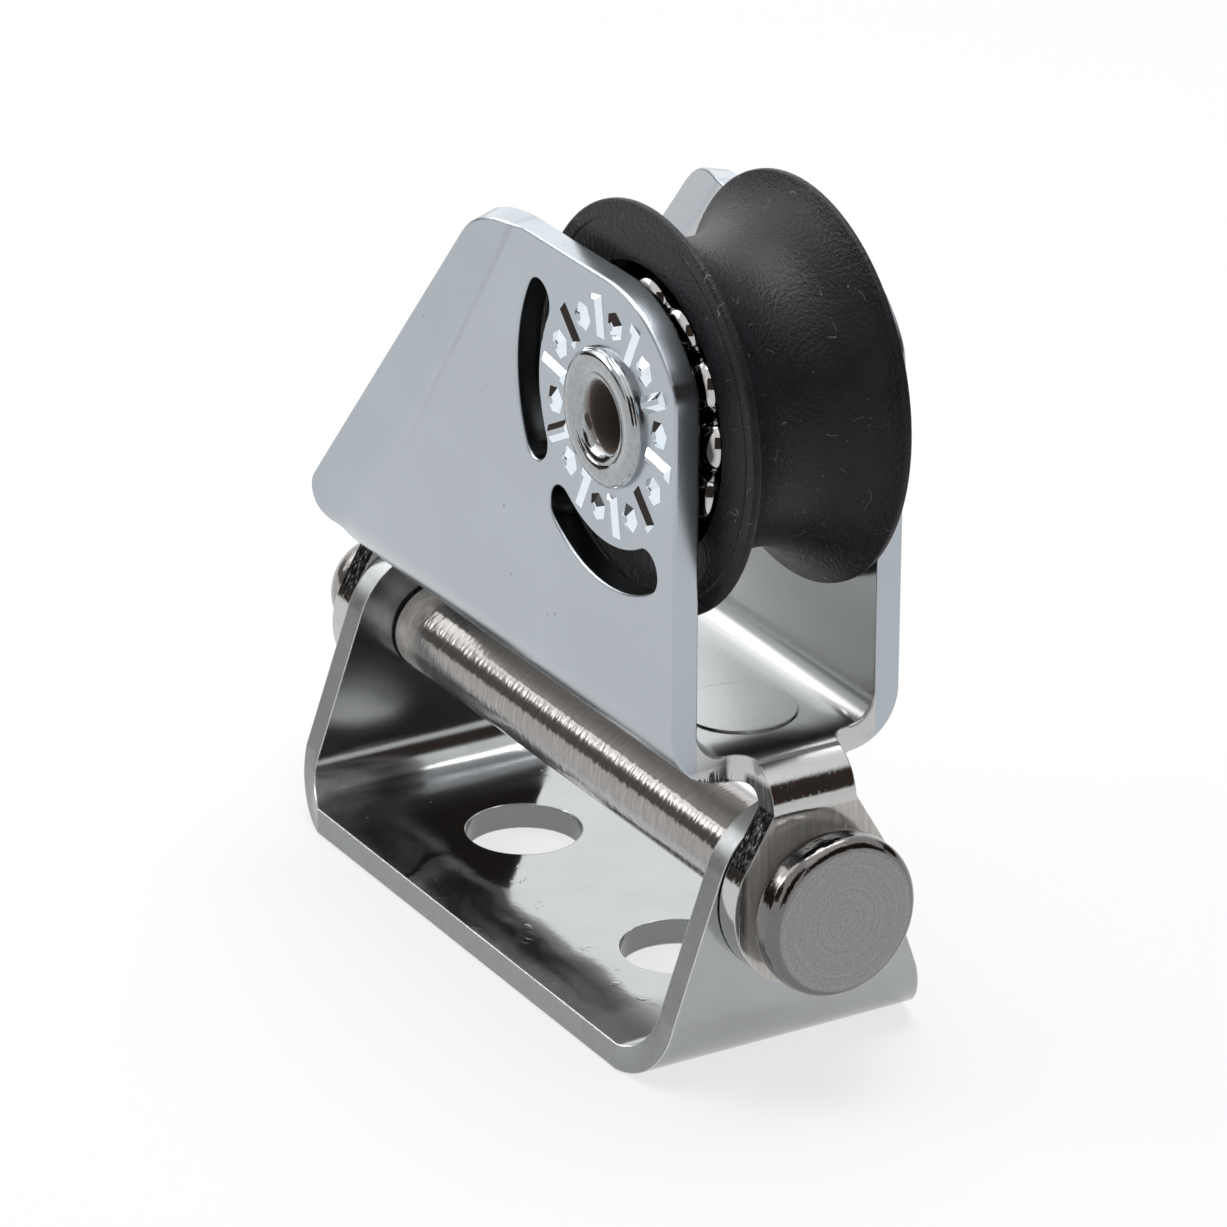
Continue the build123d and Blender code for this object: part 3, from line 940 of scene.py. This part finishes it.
class SetStudio(bpy.types.Operator):
    """Pale floor, soft lamps, cards for the reflections and the camera"""
    bl_idname = "lead_block.set_studio"
    bl_label = "Set up studio"

    def execute(self, context):
        look = context.scene.lead_block_studio
        self.lay_floor(look)
        self.light_world(context, look)
        self.hang_lamps(look)
        for board in CARDS:
            card(*board)
        self.place_camera(context, look)
        context.scene.view_settings.view_transform = "Standard"
        return {"FINISHED"}

    def lay_floor(self, look):
        deselect()
        bpy.ops.mesh.primitive_circle_add(
            vertices=96, radius=look.floor_radius, fill_type="NGON", location=(0, 0, -FLOOR_DROP))
        floor = bpy.context.active_object
        floor.name = "studio_floor"
        settle(floor)
        material, tree = empty_material("studio_floor")
        matt = add_node(tree, "ShaderNodeBsdfDiffuse", {"Color": shade(look.floor)})
        glow = add_node(tree, "ShaderNodeEmission", {"Color": shade(WHITE), "Strength": 1.0})
        share = product(tree, seen_directly(tree), FLOOR_GLOW)
        both = add_node(
            tree, "ShaderNodeMixShader", {0: share, 1: matt.outputs[0], 2: glow.outputs[0]})
        show_surface(tree, both.outputs[0])
        floor.data.materials.append(material)

    def light_world(self, context, look):
        world = bpy.data.worlds.new("studio_world")
        world.use_nodes = True
        tree = world.node_tree
        tree.nodes.clear()
        strength = spread(tree, seen_directly(tree), look.fill, 1.0)
        sky = add_node(
            tree, "ShaderNodeBackground", {"Color": shade(WHITE), "Strength": strength})
        show_surface(tree, sky.outputs[0], "ShaderNodeOutputWorld")
        context.scene.world = world

    def hang_lamps(self, look):
        for name, place, aim, width, height, power in LAMPS:
            deselect()
            bpy.ops.object.light_add(type="AREA", location=place)
            lamp = bpy.context.active_object
            lamp.name = name
            line = Vector(aim) - Vector(place)
            lamp.rotation_euler = line.to_track_quat("-Z", "Y").to_euler()
            lamp.data.shape = "RECTANGLE"
            lamp.data.size = width
            lamp.data.size_y = height
            lamp.data.energy = getattr(look, power)
            lamp.visible_camera = False

    def place_camera(self, context, look):
        right, up, back = sight_axes(look.azimuth, look.elevation)
        turned_right = right * cos(look.roll) + up * sin(look.roll)
        turned_up = up * cos(look.roll) - right * sin(look.roll)
        deselect()
        bpy.ops.object.camera_add()
        camera = bpy.context.active_object
        camera.name = "studio_camera"
        camera.data.sensor_width = 36
        camera.data.lens = look.focal
        camera.data.clip_start = 0.01
        camera.data.clip_end = 20
        turn = Matrix((turned_right, turned_up, back)).transposed().to_4x4()
        place = Matrix.Translation(Vector(look.target) + back * look.distance)
        camera.matrix_world = place @ turn
        context.scene.camera = camera


class LeadBlockPanel(bpy.types.Panel):
    """Settings and steps of the lead block's looks"""
    bl_idname = "VIEW3D_PT_lead_block"
    bl_label = "Lead Block"
    bl_space_type = "VIEW_3D"
    bl_region_type = "UI"
    bl_category = "Lead Block"

    def draw(self, context):
        layout = self.layout
        for name, group in GROUPS.items():
            box = layout.box()
            for setting in group.__annotations__:
                box.prop(getattr(context.scene, name), setting)
        for step in STEPS:
            layout.operator(step.bl_idname)


GROUPS = {
    "lead_block_finish": LeadBlockFinish,
    "lead_block_marks": LeadBlockMarks,
    "lead_block_studio": LeadBlockStudio,
}
STEPS = (
    FinishBase, FinishCheeks, FinishPin, FinishAxle, FinishSheave, FinishBalls,
    PressMarks, SetStudio,
)


def register():
    for name, group in GROUPS.items():
        bpy.utils.register_class(group)
        setattr(bpy.types.Scene, name, bpy.props.PointerProperty(type=group))
    for step in STEPS:
        bpy.utils.register_class(step)
    bpy.utils.register_class(LeadBlockPanel)


def unregister():
    bpy.utils.unregister_class(LeadBlockPanel)
    for step in reversed(STEPS):
        bpy.utils.unregister_class(step)
    for name, group in GROUPS.items():
        delattr(bpy.types.Scene, name)
        bpy.utils.unregister_class(group)


def main():
    register()
    bpy.ops.lead_block.finish_base()
    bpy.ops.lead_block.finish_cheeks()
    bpy.ops.lead_block.finish_pin()
    bpy.ops.lead_block.finish_axle()
    bpy.ops.lead_block.finish_sheave()
    bpy.ops.lead_block.finish_balls()
    bpy.ops.lead_block.press_marks()
    bpy.ops.lead_block.set_studio()


if __name__ == "__main__":
    main()
